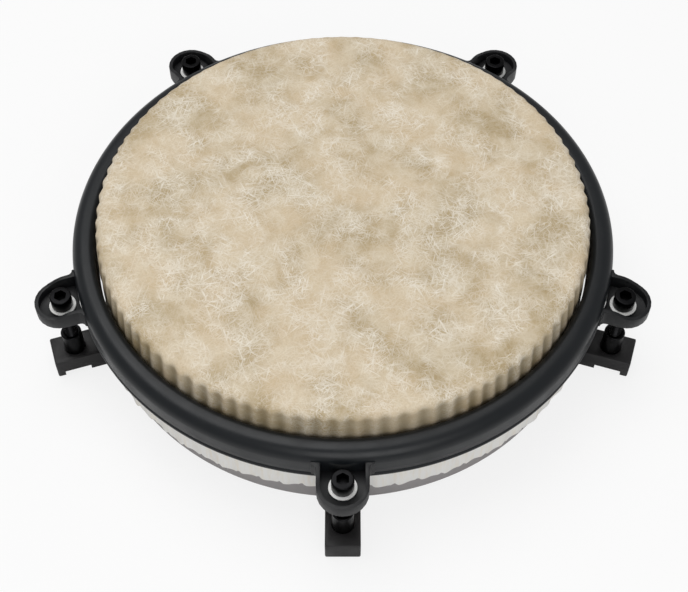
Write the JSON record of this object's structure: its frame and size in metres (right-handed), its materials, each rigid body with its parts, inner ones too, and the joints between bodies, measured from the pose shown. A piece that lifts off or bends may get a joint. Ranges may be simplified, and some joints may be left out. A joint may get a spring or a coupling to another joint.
{
  "type": "conga",
  "caption": "Flat travel conga: a short flared shell ring under a wrapped head, with a rolled rim drawn down by tension bolts at evenly spaced lugs.",
  "frame": {"origin": "centre of the playing face, on the drum's axis", "axes": "+Z out of the playing face, -Y towards the first lug"},
  "size_m": [0.3774, 0.3672, 0.0894],
  "materials": {
    "shell_paint": "matt dark grey paint",
    "head_film": "mottled fibre film",
    "head_tail": "crinkled fibre film",
    "rim_coat": "satin black powder coat",
    "hoop_steel": "plain drawn bar",
    "block_plastic": "moulded black",
    "bushing_steel": "blackened",
    "zinc_plate": "zinc plated",
    "zinc_screw": "zinc plated",
    "ear_coat": "satin black powder coat",
    "nylon": "white nylon",
    "black_steel": "blackened"
  },
  "bodies": {
    "drum": {"shell": "shell_paint", "head_film": "head_film", "lug_block_1": "block_plastic", "lug_block_2": "block_plastic", "lug_block_3": "block_plastic", "lug_block_4": "block_plastic", "lug_block_5": "block_plastic", "bushing_1": "bushing_steel", "bushing_2": "bushing_steel", "bushing_3": "bushing_steel", "bushing_4": "bushing_steel", "bushing_5": "bushing_steel", "backing_plate_1": "zinc_plate", "backing_plate_2": "zinc_plate", "backing_plate_3": "zinc_plate", "backing_plate_4": "zinc_plate", "backing_plate_5": "zinc_plate", "block_screw_1a": "zinc_screw", "block_screw_1b": "zinc_screw", "block_screw_2a": "zinc_screw", "block_screw_2b": "zinc_screw", "block_screw_3a": "zinc_screw", "block_screw_3b": "zinc_screw", "block_screw_4a": "zinc_screw", "block_screw_4b": "zinc_screw", "block_screw_5a": "zinc_screw", "block_screw_5b": "zinc_screw"},
    "rim_group": {"rim": "rim_coat", "flesh_hoop": "hoop_steel", "head_tail": "head_tail", "ear_1": "ear_coat", "ear_2": "ear_coat", "ear_3": "ear_coat", "ear_4": "ear_coat", "ear_5": "ear_coat", "washer_1": "nylon", "washer_2": "nylon", "washer_3": "nylon", "washer_4": "nylon", "washer_5": "nylon"},
    "bolt_1": {"tension_bolt_1": "black_steel"},
    "bolt_2": {"tension_bolt_2": "black_steel"},
    "bolt_3": {"tension_bolt_3": "black_steel"},
    "bolt_4": {"tension_bolt_4": "black_steel"},
    "bolt_5": {"tension_bolt_5": "black_steel"}
  },
  "joints": [
    {"name": "rim_slide", "type": "slide", "parent": "drum", "child": "rim_group", "axis": [0, 0, -1], "range_m": [-0.003, 0.006]},
    {"name": "bolt_1_turn", "type": "hinge", "parent": "rim_group", "child": "bolt_1", "pos_m": [0, -0.18057, 0], "axis": [0, 0, -1], "range_deg": [-870, 1740]},
    {"name": "bolt_2_turn", "type": "hinge", "parent": "rim_group", "child": "bolt_2", "pos_m": [0.17173, -0.0558, 0], "axis": [0, 0, -1], "range_deg": [-870, 1740]},
    {"name": "bolt_3_turn", "type": "hinge", "parent": "rim_group", "child": "bolt_3", "pos_m": [0.10614, 0.14609, 0], "axis": [0, 0, -1], "range_deg": [-870, 1740]},
    {"name": "bolt_4_turn", "type": "hinge", "parent": "rim_group", "child": "bolt_4", "pos_m": [-0.10614, 0.14609, 0], "axis": [0, 0, -1], "range_deg": [-870, 1740]},
    {"name": "bolt_5_turn", "type": "hinge", "parent": "rim_group", "child": "bolt_5", "pos_m": [-0.17173, -0.0558, 0], "axis": [0, 0, -1], "range_deg": [-870, 1740]}
  ],
  "couplings": [
    {"joint": "bolt_1_turn", "follows": "rim_slide", "rad_per_m": 5026.5},
    {"joint": "bolt_2_turn", "follows": "rim_slide", "rad_per_m": 5026.5},
    {"joint": "bolt_3_turn", "follows": "rim_slide", "rad_per_m": 5026.5},
    {"joint": "bolt_4_turn", "follows": "rim_slide", "rad_per_m": 5026.5},
    {"joint": "bolt_5_turn", "follows": "rim_slide", "rad_per_m": 5026.5}
  ]
}
